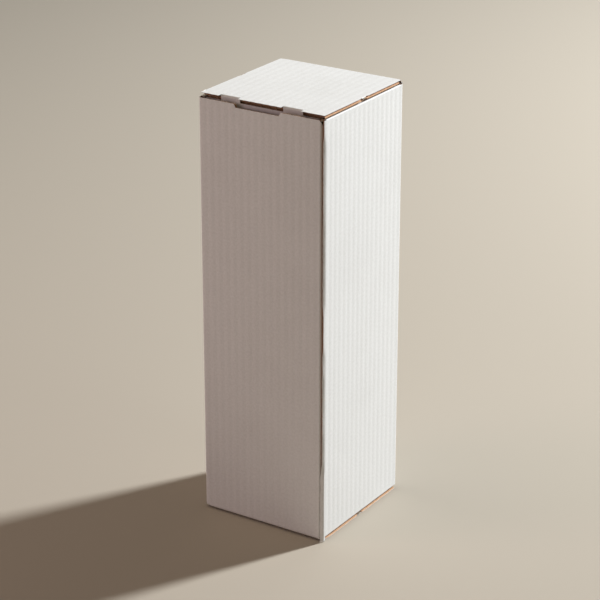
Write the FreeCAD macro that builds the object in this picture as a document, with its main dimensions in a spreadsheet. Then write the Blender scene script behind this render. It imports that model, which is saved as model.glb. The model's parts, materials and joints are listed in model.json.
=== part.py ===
import FreeCAD, Part
import Sketcher
import math
import os

# A tall square box for one bottle, die-cut from a single sheet of corrugated
# board and folded, with its lid and its bottom flap tucked in on opposite
# sides. +X is the right wall, -Y the front wall and +Z is up. The origin is
# the middle of the face that the box stands on. All sizes are in millimetres.
#
# The sheet makes three rigid parts: box_body is the tube of four walls with
# its glue flap and its four folded-in dust flaps, lid is the top panel with
# its tuck flap, and bottom_flap is the bottom panel with its own tuck flap.
# The lid swings on the crease at the back wall's top edge, the bottom flap on
# the crease at the front wall's bottom edge. The bottom flap is the lid
# turned over and round: the same outline, measured from the other end.

document = FreeCAD.newDocument("bottle_box")
sheet = document.addObject("Spreadsheet::Sheet", "sizes")


class Size:
    """A length that carries both its value and its spreadsheet expression."""

    def __init__(self, value, text):
        self.value = value
        self.text = text

    def joined(self, sign, other, value):
        return Size(value, f"({self.text} {sign} {other.text})")

    def __add__(self, other):
        other = as_size(other)
        return self.joined("+", other, self.value + other.value)

    def __sub__(self, other):
        other = as_size(other)
        return self.joined("-", other, self.value - other.value)

    def __mul__(self, other):
        other = as_size(other)
        return self.joined("*", other, self.value * other.value)

    def __truediv__(self, other):
        other = as_size(other)
        return self.joined("/", other, self.value / other.value)

    def __neg__(self):
        return Size(-self.value, f"(-1 * {self.text})")

    def root(self):
        return Size(math.sqrt(self.value), f"sqrt({self.text})")


def as_size(thing):
    if isinstance(thing, Size):
        return thing
    return Size(float(thing), f"({float(thing)})")


sheet_rows = []


def cell(alias, value, meaning):
    """Add one driving dimension to the spreadsheet and return it as a Size."""
    sheet_rows.append(alias)
    row = len(sheet_rows)
    sheet.set(f"A{row}", meaning)
    sheet.set(f"B{row}", str(value))
    sheet.setAlias(f"B{row}", alias)
    return Size(float(value), f"sizes.{alias}")


# Overall sizes and the board
box_width = cell("box_width", 108, "outer width, left wall to right wall")
box_depth = cell("box_depth", 108, "outer depth, front wall to back wall")
box_height = cell("box_height", 336, "outer height, floor to the lid's top face")
board = cell("board", 2.8, "thickness of the corrugated board")
panel_gap = cell("panel_gap", 0.3, "clearance between a closed flap and what it lies on")
corner_radius = cell("corner_radius", 2, "outer radius of the upright folds")
fold_flat = cell("fold_flat", 0.2, "board thickness less the outer radius of a dust flap's fold")

# Lid and bottom flap
lid_inset = cell("lid_inset", 0.5, "from a side wall's outer face to the lid's side edge")
lip_inset = cell("lip_inset", 0.5, "from the tuck-side wall's outer face to the lid's cut edge")
tuck_clearance = cell("tuck_clearance", 0.4, "between a tuck flap's crease and the wall it tucks behind")
tuck_inner_radius = cell("tuck_inner_radius", 0.4, "inner radius of the tuck crease")
tuck_length = cell("tuck_length", 24, "from the lid's top face to the tuck flap's free edge")
tuck_swing = cell("tuck_swing", 0.7, "between a swinging tuck flap's free edge and the wall it passes")
tuck_step = cell("tuck_step", 4.2, "from the lid's top face to the tuck flap's cut top edge")
tuck_side_gap = cell("tuck_side_gap", 1.3, "between the tuck flap's ends and the boards beside it")
tuck_corner = cell("tuck_corner", 12, "radius of the tuck flap's free corners")
bridge_width = cell("bridge_width", 16.5, "width of each uncut stretch of the tuck crease")
middle_cut = cell("middle_cut", 37, "width of the cut between the two uncut stretches")
slit_width = cell("slit_width", 0.3, "width of the slit beside an uncut stretch")

# Walls, dust flaps and glue flap
wall_drop = cell("wall_drop", 4, "from the lid's top face to the wall edge it closes over")
notch_width = cell("notch_width", 37, "width of the finger notch at its bottom")
notch_depth = cell("notch_depth", 2.7, "depth of the finger notch")
notch_slope = cell("notch_slope", 1.5, "run of the notch's slanted ends")
notch_offset = cell("notch_offset", 1.8, "from the front notch's middle to the tuck flap's middle")
dust_gap = cell("dust_gap", 18, "opening between the free edges of two dust flaps")
dust_clearance = cell("dust_clearance", 1.4, "between a tuck flap and the dust flaps behind it")
dust_edge_gap = cell("dust_edge_gap", 1, "between a dust flap and the wall on the hinge side")
dust_corner = cell("dust_corner", 8, "chamfer of a dust flap's free corners")
glue_width = cell("glue_width", 25, "width of the glue flap behind the right wall")
glue_relief = cell("glue_relief", 9, "from the box's end to the near corner of the glue flap")
glue_taper = cell("glue_taper", 6, "taper of the glue flap's ends")
seam_relief = cell("seam_relief", 2.5, "corner cut off the front wall's top edge at the seam")

document.recompute()

# Places worked out from those sizes
right = box_width / 2
left = -right
back = box_depth / 2
front = -back
end_level = board + panel_gap                    # the wall ends, from either end face
wall_height = box_height - end_level * 2
fold_radius = board - fold_flat                  # outer radius of a dust flap's fold
tuck_radius = tuck_inner_radius + board          # outer radius of a tuck crease
crease_line = back - board - tuck_clearance - tuck_radius   # centre of that crease, from the middle
# the tuck flap leans in so that its free edge, which swings about the middle of
# the board at the far crease, clears the wall that it is tucked behind
hinge_reach = box_depth - board * 3 / 2
edge_depth = tuck_length - board / 2
edge_reach = (hinge_reach * hinge_reach - edge_depth * edge_depth).root() - tuck_swing
tuck_lean = hinge_reach - tuck_clearance - edge_reach
PAST = 1                                         # how far a cut runs past the board it cuts


def origin_plane(body, role):
    for feature in body.Origin.OriginFeatures:
        if feature.Role == role:
            return feature
    raise RuntimeError(f"{body.Name} has no {role}")


def bind(sketch, index, name, size):
    """Name a dimension of a sketch and tie it to the spreadsheet."""
    sketch.renameConstraint(index, name)
    sketch.setExpression(f"Constraints.{name}", size.text)


def place_point(sketch, geometry, point, name, across, up):
    """Dimension one point of a sketch from its origin."""
    for kind, letter, size in (("DistanceX", "x", across), ("DistanceY", "y", up)):
        if size is not None:
            rule = Sketcher.Constraint(kind, -1, 1, geometry, point, size.value)
            bind(sketch, sketch.addConstraint(rule), f"{name}_{letter}", size)


def add_loop(sketch, tag, corners):
    """Draw a closed outline. A corner is (across, up), and an arc starts at a
    corner that also gives the arc's centre and its turn: 1 goes round it
    anticlockwise and -1 clockwise. Every corner is dimensioned."""
    edges = []
    for index, corner in enumerate(corners):
        across, up = as_size(corner[0]), as_size(corner[1])
        follower = corners[(index + 1) % len(corners)]
        here = FreeCAD.Vector(across.value, up.value, 0)
        there = FreeCAD.Vector(as_size(follower[0]).value, as_size(follower[1]).value, 0)
        if len(corner) == 2:
            number = sketch.addGeometry(Part.LineSegment(here, there))
            edges.append((number, 1, 2))
            continue
        middle = FreeCAD.Vector(as_size(corner[2]).value, as_size(corner[3]).value, 0)
        first, last = (here, there) if corner[4] > 0 else (there, here)
        angles = [math.atan2(end.y - middle.y, end.x - middle.x) for end in (first, last)]
        if angles[1] <= angles[0]:
            angles[1] += 2 * math.pi
        circle = Part.Circle(middle, FreeCAD.Vector(0, 0, 1), (here - middle).Length)
        number = sketch.addGeometry(Part.ArcOfCircle(circle, angles[0], angles[1]))
        edges.append((number, 1, 2) if corner[4] > 0 else (number, 2, 1))
    for index, corner in enumerate(corners):
        number, start, _ = edges[index]
        before, _, end = edges[index - 1]
        sketch.addConstraint(Sketcher.Constraint("Coincident", before, end, number, start))
        across, up = as_size(corner[0]), as_size(corner[1])
        previous = corners[index - 1]
        if len(previous) > 2:
            # the end of an arc is on its circle already, so one dimension fixes it
            aside = abs(across.value - as_size(previous[2]).value)
            above = abs(up.value - as_size(previous[3]).value)
            across, up = (None, up) if aside > above else (across, None)
        place_point(sketch, number, start, f"{tag}{index}", across, up)
        if len(corner) > 2:
            place_point(sketch, number, 3, f"{tag}{index}_centre", as_size(corner[2]), as_size(corner[3]))


def draw(body, name, role, level, loops):
    """A sketch on one of the body's own planes, moved along the plane's normal."""
    sketch = body.newObject("Sketcher::SketchObject", name)
    sketch.AttachmentSupport = [(origin_plane(body, role), "")]
    sketch.MapMode = "FlatFace"
    sketch.setExpression("AttachmentOffset.Base.z", as_size(level).text)
    for number, loop in enumerate(loops):
        add_loop(sketch, f"loop{number}_", loop)
    document.recompute()
    if sketch.solve() != 0:
        raise RuntimeError(f"{name} can't be solved")
    return sketch


def extrude(body, kind, name, sketch, length, backwards=False):
    """A Pad or a Pocket, which has to change the body's volume the right way."""
    volume_before = body.Shape.Volume if body.Tip else 0.0
    feature = body.newObject(f"PartDesign::{kind}", name)
    feature.Profile = sketch
    feature.setExpression("Length", as_size(length).text)
    feature.Reversed = backwards
    document.recompute()
    change = body.Shape.Volume - volume_before
    if change * (1 if kind == "Pad" else -1) <= 0:
        raise RuntimeError(f"{name} changes nothing")
    return feature


def rectangle(low_across, high_across, low_up, high_up):
    return [(low_across, low_up), (high_across, low_up), (high_across, high_up), (low_across, high_up)]


def depth_from(end, depth):
    """The height of something that lies a given depth behind the box's end face."""
    return box_height - depth if end == "top" else as_size(depth)


def toward_hinge(end, distance):
    """A place along Y, measured from the middle towards that end's hinge wall."""
    return as_size(distance) if end == "top" else -as_size(distance)


# ---------------------------------------------------------------- box body
# The front wall carries the glue flap, which is folded back inside the right
# wall and glued there. The right wall's raw edge shows at that corner, beside
# the rounded fold of the front wall. The boards beside the top tuck flap are
# the left wall and the glue flap, so that flap is centred between the two. The
# finger notch in front of it is cut a little to the left of the flap's middle.

front_middle = -board / 2


def tube_section():
    inner_right = right - board
    glue_face = inner_right - board
    outer = [
        (left + corner_radius, front),
        (inner_right - corner_radius, front,
         inner_right - corner_radius, front + corner_radius, 1),
        (inner_right, front + corner_radius),
        (inner_right, front),
        (right, front),
        (right, back - corner_radius, right - corner_radius, back - corner_radius, 1),
        (right - corner_radius, back),
        (left + corner_radius, back, left + corner_radius, back - corner_radius, 1),
        (left, back - corner_radius),
        (left, front + corner_radius, left + corner_radius, front + corner_radius, 1),
    ]
    inner = [
        (left + board, front + board),
        (glue_face, front + board),
        (glue_face, front + board + glue_width),
        (inner_right, front + board + glue_width),
        (inner_right, back - board),
        (left + board, back - board),
    ]
    return [outer, inner]


def raw_edge_with_notch(end, middle, far_side):
    """What is cut off the wall behind which that end's tuck flap goes. far_side
    is the corners in which that edge ends on the right."""
    half = notch_width / 2
    edge = depth_from(end, wall_drop)
    floor = depth_from(end, wall_drop + notch_depth)
    beyond = depth_from(end, 0)
    return [
        (left - PAST, edge),
        (middle - half - notch_slope, edge),
        (middle - half, floor),
        (middle + half, floor),
        (middle + half + notch_slope, edge),
        *far_side,
        (left - PAST, beyond),
    ]


def glue_flap_end(end):
    """The tapered offcut at one end of the glue flap."""
    crease = front + board
    free_edge = crease + glue_width
    return [
        (crease, depth_from(end, glue_relief)),
        (free_edge + PAST, depth_from(end, glue_relief + glue_taper)),
        (free_edge + PAST, depth_from(end, 0)),
        (crease, depth_from(end, 0)),
    ]


def dust_flap(end, side):
    """Plan of the flap that folds in from one side wall; side is 1 or -1."""
    wall = (right - board / 2) * side
    free_edge = dust_gap / 2 * side
    shoulder = (dust_gap / 2 + dust_corner) * side
    hinge_edge = back - board - dust_edge_gap
    tuck_edge = front + board * 2 + tuck_clearance + dust_clearance
    return [
        (wall, toward_hinge(end, tuck_edge)),
        (shoulder, toward_hinge(end, tuck_edge)),
        (free_edge, toward_hinge(end, tuck_edge + dust_corner)),
        (free_edge, toward_hinge(end, hinge_edge - dust_corner)),
        (shoulder, toward_hinge(end, hinge_edge)),
        (wall, toward_hinge(end, hinge_edge)),
    ]


def fold_round(end, side):
    """What is cut off the outside of a side wall where its dust flap folds in."""
    wall = right * side
    beyond = (right + PAST) * side
    centre_across = (right - fold_radius) * side
    centre_up = depth_from(end, end_level + fold_radius)
    turn = -side if end == "top" else side
    return [
        (centre_across, depth_from(end, end_level), centre_across, centre_up, turn),
        (wall, centre_up),
        (beyond, centre_up),
        (beyond, depth_from(end, 0)),
        (centre_across, depth_from(end, 0)),
    ]


def make_box_body():
    body = document.addObject("PartDesign::Body", "box_body")
    tube = draw(body, "tube_outline", "XY_Plane", end_level, tube_section())
    extrude(body, "Pad", "tube", tube, wall_height)

    seam = right - board
    top_edge = depth_from("top", wall_drop)
    relief = [
        (seam - seam_relief, top_edge),
        (seam, top_edge - seam_relief),
        (seam, depth_from("top", 0)),
    ]
    front_edge = raw_edge_with_notch("top", front_middle - notch_offset, relief)
    sketch = draw(body, "front_edge_outline", "XZ_Plane", back + PAST, [front_edge])
    extrude(body, "Pocket", "front_top_edge", sketch, board + PAST)
    square_end = [(right + PAST, wall_drop), (right + PAST, depth_from("bottom", 0))]
    back_edge = raw_edge_with_notch("bottom", as_size(0), square_end)
    sketch = draw(body, "back_edge_outline", "XZ_Plane", front - PAST, [back_edge])
    extrude(body, "Pocket", "back_bottom_edge", sketch, board + PAST, backwards=True)

    for end in ("top", "bottom"):
        sketch = draw(body, f"glue_{end}_outline", "YZ_Plane", right - board, [glue_flap_end(end)])
        extrude(body, "Pocket", f"glue_{end}_taper", sketch, board)

    for end in ("top", "bottom"):
        low_face = depth_from(end, end_level + board) if end == "top" else end_level
        flaps = [dust_flap(end, side) for side in (1, -1)]
        sketch = draw(body, f"dust_{end}_outline", "XY_Plane", low_face, flaps)
        extrude(body, "Pad", f"dust_flaps_{end}", sketch, board)

    rounds = [fold_round(end, side) for end in ("top", "bottom") for side in (1, -1)]
    sketch = draw(body, "fold_rounds_outline", "XZ_Plane", back + PAST, rounds)
    extrude(body, "Pocket", "dust_flap_folds", sketch, box_depth + 2 * PAST)

    # the creases stop short of the upright folds, which leaves a small opening
    # at each end of the lid's hinge and of the bottom flap's hinge
    for end in ("top", "bottom"):
        hinge_wall = toward_hinge(end, back)
        fold_start = toward_hinge(end, back - corner_radius)
        corners = []
        for side in (1, -1):
            outside = (right + PAST) * side
            inside = (right - corner_radius) * side
            corners.append([
                (inside, hinge_wall), (outside, hinge_wall),
                (outside, fold_start), (inside, fold_start),
            ])
        low_face = depth_from(end, end_level + corner_radius) if end == "top" else end_level
        sketch = draw(body, f"corner_{end}_outline", "XY_Plane", low_face, corners)
        extrude(body, "Pocket", f"corner_reliefs_{end}", sketch, corner_radius, backwards=True)
    return body


# ------------------------------------------------------ lid and bottom flap
# Each swings on the middle of the board at its crease: its hinge edge is
# rounded about that line, and the wall below ends a clearance under it. The
# tuck crease is cut through except at two bridges, and between them and
# beside them the panel runs on as a lip over the wall's raw edge.


def folded_section(end):
    """Panel, tuck crease and leaning tuck flap, seen from the right."""
    hinge = back - board / 2
    outer_face = -crease_line - tuck_radius
    inner_face = outer_face + board

    def at(y, depth):
        return (toward_hinge(end, y), depth_from(end, depth))

    return [
        at(hinge, 0),
        at(-crease_line, 0) + at(-crease_line, tuck_radius) + (1,),
        at(outer_face, tuck_radius),
        at(outer_face + tuck_lean, tuck_length),
        at(inner_face + tuck_lean, tuck_length),
        at(inner_face, tuck_radius) + at(-crease_line, tuck_radius) + (-1,),
        at(-crease_line, board),
        at(hinge, board) + at(hinge, board / 2) + (1,),
    ]


def cut_stretches(middle, slit):
    """The three stretches of the tuck crease that are cut through, along X."""
    inner = middle_cut / 2
    outer = inner + bridge_width
    return [
        (left + lid_inset, middle - outer - slit),
        (middle - inner + slit, middle + inner - slit),
        (middle + outer + slit, right - lid_inset),
    ]


def tuck_flap_offcut(end, tip, side):
    """What is cut off one end of the tuck flap, with its rounded free corner."""
    outside = (right + PAST) * side
    centre_across = tip - tuck_corner * side
    centre_up = depth_from(end, tuck_length - tuck_corner)
    beyond = depth_from(end, tuck_length + PAST)
    turn = side if end == "top" else -side
    return [
        (centre_across, depth_from(end, tuck_length), centre_across, centre_up, turn),
        (tip, centre_up),
        (tip, depth_from(end, tuck_step)),
        (outside, depth_from(end, tuck_step)),
        (outside, beyond),
        (centre_across, beyond),
    ]


def make_end_flap(name, end, right_board):
    """right_board is the face of whatever board lies right of the tuck flap."""
    left_board = left + board
    middle = (left_board + right_board) / 2
    body = document.addObject("PartDesign::Body", name)
    sketch = draw(body, f"{name}_section", "YZ_Plane", left + lid_inset, [folded_section(end)])
    extrude(body, "Pad", f"{name}_folded", sketch, box_width - lid_inset * 2)

    # the sketches that look along Y lie just outside the tuck-side wall
    outside = (back + PAST) if end == "top" else (front - PAST)
    backwards = end == "bottom"
    crease_depth = back - crease_line + PAST
    reach = box_depth / 2
    cuts = cut_stretches(middle, as_size(0))
    cuts[0] = (left - PAST, cuts[0][1])
    cuts[2] = (cuts[2][0], right + PAST)
    levels = sorted((depth_from(end, tuck_step), depth_from(end, -PAST)), key=lambda size: size.value)
    loops = [rectangle(low, high, levels[0], levels[1]) for low, high in cuts]
    sketch = draw(body, f"{name}_cuts", "XZ_Plane", outside, loops)
    extrude(body, "Pocket", f"{name}_cut_crease", sketch, crease_depth, backwards)

    tips = ((right_board - tuck_side_gap, 1), (left_board + tuck_side_gap, -1))
    loops = [tuck_flap_offcut(end, tip, side) for tip, side in tips]
    sketch = draw(body, f"{name}_tuck_ends", "XZ_Plane", outside, loops)
    extrude(body, "Pocket", f"{name}_tuck_outline", sketch, reach, backwards)

    lip_edge = toward_hinge(end, front + lip_inset)
    lip_root = toward_hinge(end, -crease_line)
    low_y, high_y = sorted((lip_edge, lip_root), key=lambda size: size.value)
    stretches = cut_stretches(middle, slit_width)
    loops = [rectangle(low, high, low_y, high_y) for low, high in stretches]
    low_face = depth_from(end, board) if end == "top" else as_size(0)
    sketch = draw(body, f"{name}_lips_outline", "XY_Plane", low_face, loops)
    extrude(body, "Pad", f"{name}_lips", sketch, board)
    return body


glue_face_x = right - board * 2
parts = [
    make_box_body(),
    make_end_flap("lid", "top", glue_face_x),
    make_end_flap("bottom_flap", "bottom", right - board),
]

# ----------------------------------------------------------------- checking
document.recompute()
for item in document.Objects:
    if "Invalid" in item.State or "Error" in item.State:
        raise RuntimeError(f"{item.Name} failed: {item.State}")

os.makedirs("parts", exist_ok=True)
for body in parts:
    shape = body.Shape
    if shape.isNull() or not shape.isValid() or len(shape.Solids) != 1:
        raise RuntimeError(f"{body.Label} isn't one valid solid")
for body in parts:
    body.Shape.exportStep(f"parts/{body.Label}.step")
    print(body.Label, round(body.Shape.Volume), "mm3")
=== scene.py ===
"""Builds the looks of a bottle box: a tall square carton for one bottle, folded
from a single sheet of corrugated board that is white outside and plain kraft
inside, with its lid and its bottom flap tucked in on opposite sides.

The board's three papers, outer liner, fluting and inner liner, are scored and
die-cut flat, then folded along the creases and given their thickness. The
box's outline comes from its packed model. +X is the right wall, -Y the front
wall and +Z is up.
"""

import json
import math
import random
from typing import NamedTuple

import bmesh
import bpy
from mathutils import Matrix, Vector, noise

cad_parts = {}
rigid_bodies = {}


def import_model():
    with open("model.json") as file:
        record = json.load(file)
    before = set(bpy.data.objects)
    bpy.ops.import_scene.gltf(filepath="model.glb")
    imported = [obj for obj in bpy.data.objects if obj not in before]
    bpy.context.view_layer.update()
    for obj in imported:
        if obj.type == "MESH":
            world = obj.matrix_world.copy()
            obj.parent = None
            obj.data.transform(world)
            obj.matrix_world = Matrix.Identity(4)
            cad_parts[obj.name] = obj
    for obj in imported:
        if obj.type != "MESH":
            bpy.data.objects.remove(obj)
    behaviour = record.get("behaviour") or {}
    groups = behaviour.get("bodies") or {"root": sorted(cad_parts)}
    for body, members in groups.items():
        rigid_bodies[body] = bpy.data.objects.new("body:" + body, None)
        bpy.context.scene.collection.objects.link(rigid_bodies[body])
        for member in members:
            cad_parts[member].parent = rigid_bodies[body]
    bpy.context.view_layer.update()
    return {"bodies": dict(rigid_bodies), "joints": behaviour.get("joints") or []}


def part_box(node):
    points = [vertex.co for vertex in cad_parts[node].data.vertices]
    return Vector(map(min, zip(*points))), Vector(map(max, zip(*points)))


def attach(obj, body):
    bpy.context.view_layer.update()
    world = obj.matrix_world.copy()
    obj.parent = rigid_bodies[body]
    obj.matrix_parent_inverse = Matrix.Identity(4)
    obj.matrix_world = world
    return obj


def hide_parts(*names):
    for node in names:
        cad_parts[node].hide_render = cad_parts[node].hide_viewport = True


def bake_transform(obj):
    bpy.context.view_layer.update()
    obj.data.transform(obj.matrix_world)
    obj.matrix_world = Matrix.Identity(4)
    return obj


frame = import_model()

bl_info = {
    "name": "Bottle Box",
    "version": (1, 0, 0),
    "blender": (4, 5, 0),
    "location": "3D View > Sidebar > Bottle Box",
    "description": "A folded bottle box of white-lined corrugated board",
    "category": "Object",
}

MM = 0.001
TOUCH = 1e-7
BODY_LOW, BODY_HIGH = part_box("box_body")
HINGES = {joint["name"]: joint for joint in frame["joints"]}
LID_AXIS = Vector(HINGES["lid_hinge"]["pos_m"])
BOX_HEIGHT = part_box("lid")[1].z
BOARD = 2 * (BOX_HEIGHT - LID_AXIS.z)
TUCK_SLANT = 2.79 * MM
SHARP_EDGE = math.radians(50)
SCORES_PER_FLUTE = 8
CORNER_CUTS = 8
ROW = 2 * MM
PRESSED_WIDTH = 2.6 * MM
NICK_HALF = 1.3 * MM
FLOOR_SIZE = 8


# ---- what can be set


def number(name, description, default, **kind):
    return bpy.props.FloatProperty(name=name, description=description, default=default, **kind)


def length(name, description, default):
    kind = {"subtype": "DISTANCE", "unit": "LENGTH", "precision": 5}
    return number(name, description, default, min=0.0, **kind)


def mm(name, description, millimetres):
    return length(name, description, millimetres * MM)


def power(name, description, default):
    return number(name, description, default, min=0.0, unit="POWER")


def angle(name, description, degrees):
    return number(name, description, math.radians(degrees), subtype="ANGLE", unit="ROTATION")


def colour(name, description, default):
    return bpy.props.FloatVectorProperty(
        name=name, description=description, default=default,
        size=3, min=0.0, max=1.0, subtype="COLOR",
    )


class BottleBoxBoard(bpy.types.PropertyGroup):
    """The corrugated board"""

    thickness: length("Board", "Thickness of the board", BOARD)
    liner: mm("Liner", "Thickness of each liner", 0.25)
    web: mm("Fluting paper", "Thickness of the fluting's paper", 0.2)
    pitch: mm("Flute pitch", "From one flute to the next", 6.35)
    sag: mm("Liner sag", "How far the outer liner sags between flutes", 0.09)
    tightest: mm("Tightest fold", "Radius of a paper inside a fold", 0.4)
    ragged: mm("Ragged edge", "How far a die-cut edge wanders", 0.1)


class BottleBoxDie(bpy.types.PropertyGroup):
    """The outline that the sheet is cut and creased to"""

    width: length("Width", "Outer width", BODY_HIGH.x - BODY_LOW.x)
    depth: length("Depth", "Outer depth", BODY_HIGH.y - BODY_LOW.y)
    height: length("Height", "Outer height", BOX_HEIGHT)
    end_level: length("Wall ends", "From either end to a dust flap", BODY_LOW.z)
    corner_radius: mm("Upright folds", "Outer radius", 2.0)
    seam_radius: mm("Seam fold", "Outer radius beside the seam", 1.6)
    dust_radius: mm("Dust flap folds", "Outer radius", 1.0)
    hinge_radius: mm("Lid crease", "Outer radius", 2.8)
    crease_reach: mm("Crease reach", "From a corner to where it bends", 3.2)
    tuck_radius: mm("Tuck crease", "Outer radius", 1.2)
    lid_inset: mm("Lid inset", "From a wall's face to the lid's edge", 0.5)
    lid_left_inset: mm("Lid left inset", "The same, on its left", 1.9)
    under_inset: mm("Bottom inset", "From a wall's face to its edge", 1.1)
    under_gap: mm("Bottom gap", "Under the crease of the bottom flap", 1.2)
    flap_gap: mm("Dust flap gap", "Under the edges of the lid", 0.9)
    lip_inset: mm("Lip inset", "From a wall's face to the lid's lip", 0.5)
    tuck_face: mm("Tuck flap", "From the wall's face to it", 3.2)
    tuck_length: mm("Tuck length", "From the lid's face down", 24.0)
    tuck_step: mm("Tuck step", "From the lid's face to the cut edge", 4.2)
    tuck_side_gap: mm("Tuck side gap", "Beside the tuck flap", 1.3)
    tuck_corner: mm("Tuck corner", "Radius of its free corners", 12.0)
    bridge: mm("Bridge", "Width of each uncut stretch", 16.5)
    middle_cut: mm("Middle cut", "Width between the bridges", 37.0)
    slit: mm("Slit", "Width of the slit beside a bridge", 0.3)
    wall_drop: mm("Wall drop", "From an end to the raw wall edge", 4.0)
    notch_width: mm("Notch width", "At the bottom of the notch", 37.0)
    notch_depth: mm("Notch depth", "Of the finger notch", 2.7)
    notch_slope: mm("Notch slope", "Run of its slanted ends", 1.5)
    notch_offset: mm("Notch offset", "Left of the tuck flap's middle", 1.8)
    seam_relief: mm("Seam relief", "Corner cut off at the seam", 1.4)
    dust_gap: mm("Dust gap", "Between two dust flaps", 18.0)
    dust_corner: mm("Dust corner", "Chamfer of their free corners", 8.0)
    dust_tuck_side: mm("Dust tuck side", "From the tuck wall", 7.4)
    dust_hinge_side: mm("Dust hinge side", "From the hinge wall", 3.8)
    glue_width: mm("Glue flap", "Its width", 25.0)
    glue_relief: mm("Glue relief", "From an end to its corner", 9.0)
    glue_taper: mm("Glue taper", "Taper of its ends", 6.0)


class BottleBoxPaper(bpy.types.PropertyGroup):
    """The colours of the papers"""

    white: colour("White liner", "The coated outside", (0.83, 0.825, 0.805))
    white_dull: colour("Dull patches", "Cloudy patches in it", (0.74, 0.73, 0.705))
    kraft: colour("Kraft", "Inner liner and fluting", (0.52, 0.31, 0.16))
    kraft_dark: colour("Kraft fibres", "Darker fibres", (0.36, 0.2, 0.095))
    web: colour("Fluting", "The fluting's paper", (0.68, 0.425, 0.26))
    web_dark: colour("Fluting fibres", "Darker fibres", (0.46, 0.265, 0.14))
    edge: colour("Raw edge", "Paper edges where they are cut", (0.78, 0.5, 0.32))
    edge_dark: colour("Raw edge shade", "Burnished spots", (0.52, 0.3, 0.16))
    torn: colour("Torn fibre", "Loose fibres at cut edges", (0.92, 0.8, 0.66))


class BottleBoxStage(bpy.types.PropertyGroup):
    """Floor, lights and camera"""

    floor: colour("Floor", "Plain floor", (0.452, 0.4, 0.325))
    around: colour("Soft light", "Light from all round", (0.072, 0.068, 0.066))
    key: power("Key light", "Low from behind on the right", 163.0)
    overhead: power("Overhead light", "Wide and soft", 10.2)
    fill: power("Fill light", "On the left, at the front", 3.4)
    azimuth: angle("Azimuth", "Of the camera, from the front wall", 32.95)
    elevation: angle("Elevation", "Of the camera", 22.2)
    distance: length("Distance", "From the camera to its aim", 1.653)
    aim: length("Aim", "Height that the camera looks at", 0.1673)
    aside: number("Aside", "How far right of the middle the camera looks", -1.3 * MM, unit="LENGTH")
    lens: number("Lens", "Focal length", 131.1, unit="CAMERA")


def settings():
    """The board and the die."""
    scene = bpy.context.scene
    return scene.bottle_box_board, scene.bottle_box_die


# ---- the line of a board


class Section:
    """The line that a board's outer face follows, seen along its creases, with
    the inside of the box on its left. Each corner is a rounded crease."""

    def __init__(self, corners, radii, board, start=0.0):
        self.corners = [Vector(corner) for corner in corners]
        runs = [b - a for a, b in zip(self.corners, self.corners[1:])]
        self.along = [run.normalized() for run in runs]
        self.inward = [Vector((-way.y, way.x)) for way in self.along]
        self.marks = [start]
        for run in runs:
            self.marks.append(self.marks[-1] + run.length)
        self.tightest = board.tightest
        self.radii = [0.0, *radii, 0.0]
        self.turns, self.reach = [0.0], [0.0]
        for corner in range(1, len(self.along)):
            turn = self.along[corner - 1].angle(self.along[corner])
            widest = max(self.radii[corner], board.thickness + self.tightest)
            self.turns.append(turn)
            self.reach.append(widest * math.tan(turn / 2))

    def creases(self):
        """Where each crease's curve begins and ends."""
        return [
            (self.marks[corner] - self.reach[corner], self.marks[corner] + self.reach[corner])
            for corner in range(1, len(self.along))
        ]

    def crush(self, distance):
        """How far the board is crushed: 1 in the middle of a crease, 0 outside it."""
        most = 0.0
        for low, high in self.creases():
            share = abs(distance - (low + high) / 2) / (high - low) * 2
            if share < 1:
                most = max(most, (1 - share * share) ** 2)
        return most

    def at(self, distance, depth):
        """The point that lies depth inside the board's face."""
        for corner in range(1, len(self.along)):
            beyond = distance - self.marks[corner]
            if abs(beyond) < self.reach[corner] - TOUCH:
                return self.in_crease(corner, beyond, depth)
        run = sum(distance > mark for mark in self.marks[1:-1])
        foot = self.corners[run] + self.along[run] * (distance - self.marks[run])
        return foot + self.inward[run] * depth

    def in_crease(self, corner, beyond, depth):
        reach, turn = self.reach[corner], self.turns[corner]
        before, after = self.along[corner - 1], self.along[corner]
        inward = self.inward[corner - 1]
        radius = max(self.radii[corner] - depth, self.tightest)
        straight = reach - (depth + radius) * math.tan(turn / 2)
        whole = 2 * straight + radius * turn
        travelled = (beyond / reach + 1) / 2 * whole
        start = self.corners[corner] - before * reach + inward * depth
        if travelled <= straight:
            return start + before * travelled
        if travelled >= straight + radius * turn:
            end = self.corners[corner] + after * reach + self.inward[corner] * depth
            return end - after * (whole - travelled)
        arm = -inward * radius
        arm.rotate(Matrix.Rotation((travelled - straight) / radius, 2))
        return start + before * straight + inward * radius + arm


# ---- flat sheet work


def clamped(value):
    return min(1.0, max(0.0, value))


def steps(start, end, count):
    return [start + (end - start) * step / count for step in range(count + 1)]


def rows_between(start, end):
    """Rows for scoring an edge where the paper is crushed or worn."""
    return [start + step * ROW for step in range(1, int((end - start) / ROW))]


def line_at(axis, place, side=1):
    """A line across the sheet: a point on it and the way square to it."""
    point, way = Vector((0, 0, 0)), Vector((0, 0, 0))
    point[axis], way[axis] = place, side
    return point, way


def trim(sheet, point, way):
    """Cut off all that lies beyond a line."""
    everything = sheet.verts[:] + sheet.edges[:] + sheet.faces[:]
    bmesh.ops.bisect_plane(
        sheet, geom=everything, dist=TOUCH, plane_co=point, plane_no=way, clear_outer=True
    )


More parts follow.
